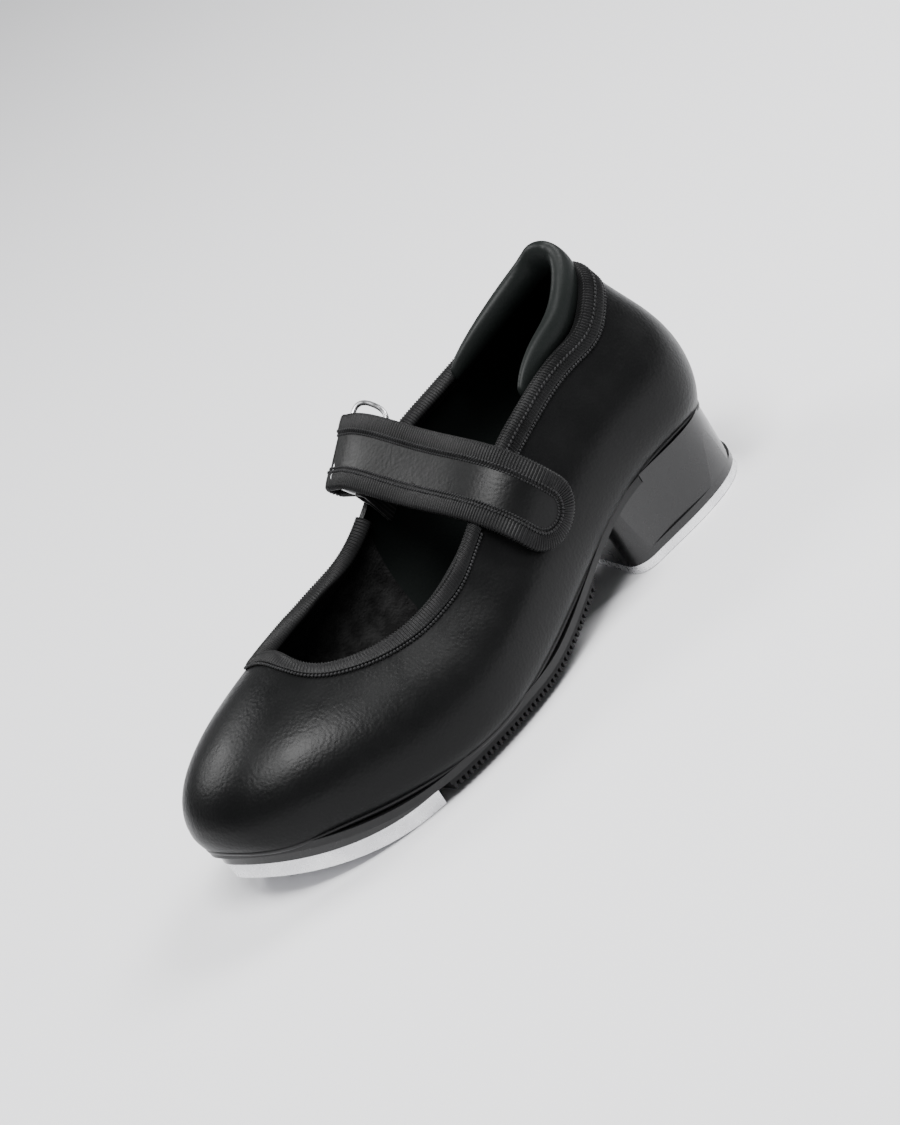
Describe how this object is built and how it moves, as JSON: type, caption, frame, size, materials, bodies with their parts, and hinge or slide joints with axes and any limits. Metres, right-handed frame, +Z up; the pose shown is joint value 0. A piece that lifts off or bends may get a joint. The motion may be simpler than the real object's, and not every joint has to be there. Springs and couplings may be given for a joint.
{
  "type": "tap shoe",
  "caption": "Child's low-heeled tap shoe with a hook-and-loop strap through a wire ring and metal toe and heel taps.",
  "frame": {"origin": "on the floor, in the middle of the shoe's overall length and width", "axes": "+X from toe to heel, +Z up, -Y to the outer side of the left foot"},
  "size_m": [0.1928, 0.0752, 0.0777],
  "materials": {
    "upper_leather": "satin, fine grain",
    "brushed_lining": "brushed",
    "smooth_lining": "soft satin",
    "ribbon": "ribbed grosgrain",
    "stiffener": "matt",
    "board": "matt",
    "foam": "matt",
    "sole_edge": "satin",
    "gloss_black": "gloss",
    "rubber": "matt",
    "tap_metal": "brushed",
    "steel": "satin",
    "ring_metal": "polished",
    "hook_loop": "rough"
  },
  "bodies": {
    "shoe": {"upper": "upper_leather", "toe_puff": "stiffener", "heel_counter": "stiffener", "vamp_lining": "brushed_lining", "quarter_lining": "smooth_lining", "collar_pad": "smooth_lining", "insole_board": "board", "insole_foam": "foam", "sock": "brushed_lining", "shank": "steel", "midsole": "sole_edge", "tap_spacer": "gloss_black", "toe_tap": "tap_metal", "toe_tap_screws": "steel", "forepart_rubber": "rubber", "heel_block": "gloss_black", "heel_top_lift": "gloss_black", "heel_tap": "tap_metal", "heel_tap_screws": "steel", "heel_nails": "steel", "strap_base": "upper_leather", "loop_patch": "hook_loop", "ring_tab": "ribbon", "throat_binding": "ribbon", "collar_binding": "ribbon", "strap_ring": "ring_metal"},
    "strap": {"strap_fold": "ribbon", "strap_panel": "upper_leather", "strap_binding": "ribbon", "hook_patch": "hook_loop"}
  },
  "joints": [
    {"name": "strap_open", "type": "hinge", "parent": "shoe", "child": "strap", "pos_m": [0.0105, 0.0299, 0.06355], "axis": [-0.866, 0, -0.5], "range_deg": [0, 150]}
  ]
}
